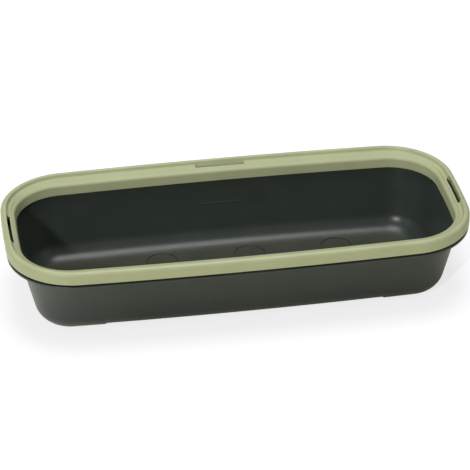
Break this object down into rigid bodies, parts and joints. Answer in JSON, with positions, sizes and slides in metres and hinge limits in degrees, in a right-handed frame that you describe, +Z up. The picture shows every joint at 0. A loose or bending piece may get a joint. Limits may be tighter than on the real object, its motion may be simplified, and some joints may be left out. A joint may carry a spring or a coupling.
{
  "type": "seed tray",
  "caption": "Long windowsill seed tray: a deep rounded tub with a loose slotted rim collar and lift-out drain plugs in its floor.",
  "frame": {"origin": "centre of the tray's plan, on the plane that its two end pads stand on", "axes": "+X along the tray's length, +Y to the back, away from the side that the picture shows nearest, +Z up"},
  "size_m": [0.4, 0.1752, 0.0742],
  "materials": {
    "tub": "satin moulded plastic",
    "rim_collar": "satin moulded plastic",
    "drain_plug_1": "satin moulded plastic",
    "drain_plug_2": "satin moulded plastic",
    "drain_plug_3": "satin moulded plastic",
    "drain_plug_4": "satin moulded plastic",
    "drain_plug_5": "satin moulded plastic",
    "drain_plug_6": "satin moulded plastic"
  },
  "bodies": {
    "tub_body": {"tub": "tub"},
    "collar_body": {"rim_collar": "rim_collar"},
    "plug_1_body": {"drain_plug_1": "drain_plug_1"},
    "plug_2_body": {"drain_plug_2": "drain_plug_2"},
    "plug_3_body": {"drain_plug_3": "drain_plug_3"},
    "plug_4_body": {"drain_plug_4": "drain_plug_4"},
    "plug_5_body": {"drain_plug_5": "drain_plug_5"},
    "plug_6_body": {"drain_plug_6": "drain_plug_6"}
  },
  "joints": [
    {"name": "collar_lift", "type": "slide", "parent": "tub_body", "child": "collar_body", "axis": [0, 0, 1], "range_m": [0, 0.08]},
    {"name": "plug_1_lift", "type": "slide", "parent": "tub_body", "child": "plug_1_body", "axis": [0, 0, 1], "range_m": [0, 0.08]},
    {"name": "plug_2_lift", "type": "slide", "parent": "tub_body", "child": "plug_2_body", "axis": [0, 0, 1], "range_m": [0, 0.08]},
    {"name": "plug_3_lift", "type": "slide", "parent": "tub_body", "child": "plug_3_body", "axis": [0, 0, 1], "range_m": [0, 0.08]},
    {"name": "plug_4_lift", "type": "slide", "parent": "tub_body", "child": "plug_4_body", "axis": [0, 0, 1], "range_m": [0, 0.08]},
    {"name": "plug_5_lift", "type": "slide", "parent": "tub_body", "child": "plug_5_body", "axis": [0, 0, 1], "range_m": [0, 0.08]},
    {"name": "plug_6_lift", "type": "slide", "parent": "tub_body", "child": "plug_6_body", "axis": [0, 0, 1], "range_m": [0, 0.08]}
  ]
}
